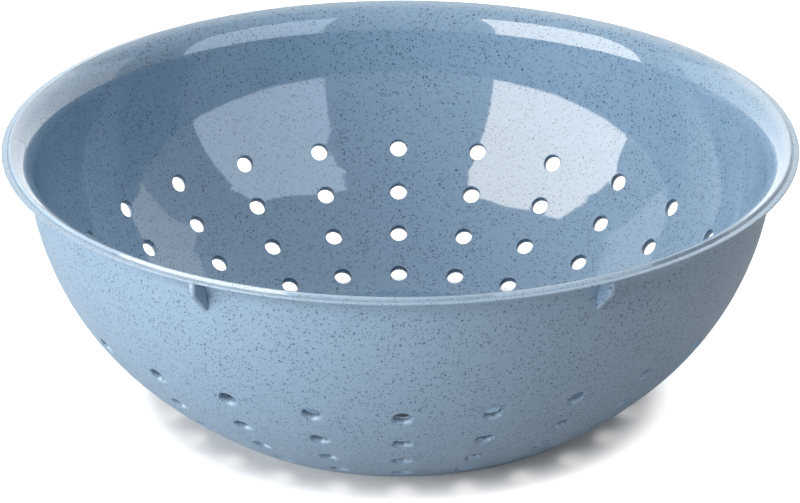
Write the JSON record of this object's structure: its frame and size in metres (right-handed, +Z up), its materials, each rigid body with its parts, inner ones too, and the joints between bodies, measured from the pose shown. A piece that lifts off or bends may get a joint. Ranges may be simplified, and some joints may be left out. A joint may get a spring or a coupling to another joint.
{
  "type": "colander",
  "caption": "Moulded bowl colander with a flat floor, a curved wall with even rows of drain holes, a rolled-out rim with a ridge, and stacking ribs under it.",
  "frame": {"origin": "centre of the ring that the colander stands on, at the level of the table", "axes": "+Z up along the bowl's axis; +X and -X each run through a stacking rib and a column of holes; -Y is the side that faces the camera in the picture"},
  "size_m": [0.28, 0.28, 0.0962],
  "materials": {
    "bowl_plastic": "blue-grey moulded plastic with small dark flecks, glossy inside and satin outside"
  },
  "bodies": {
    "root": {"colander": "bowl_plastic"}
  },
  "joints": []
}
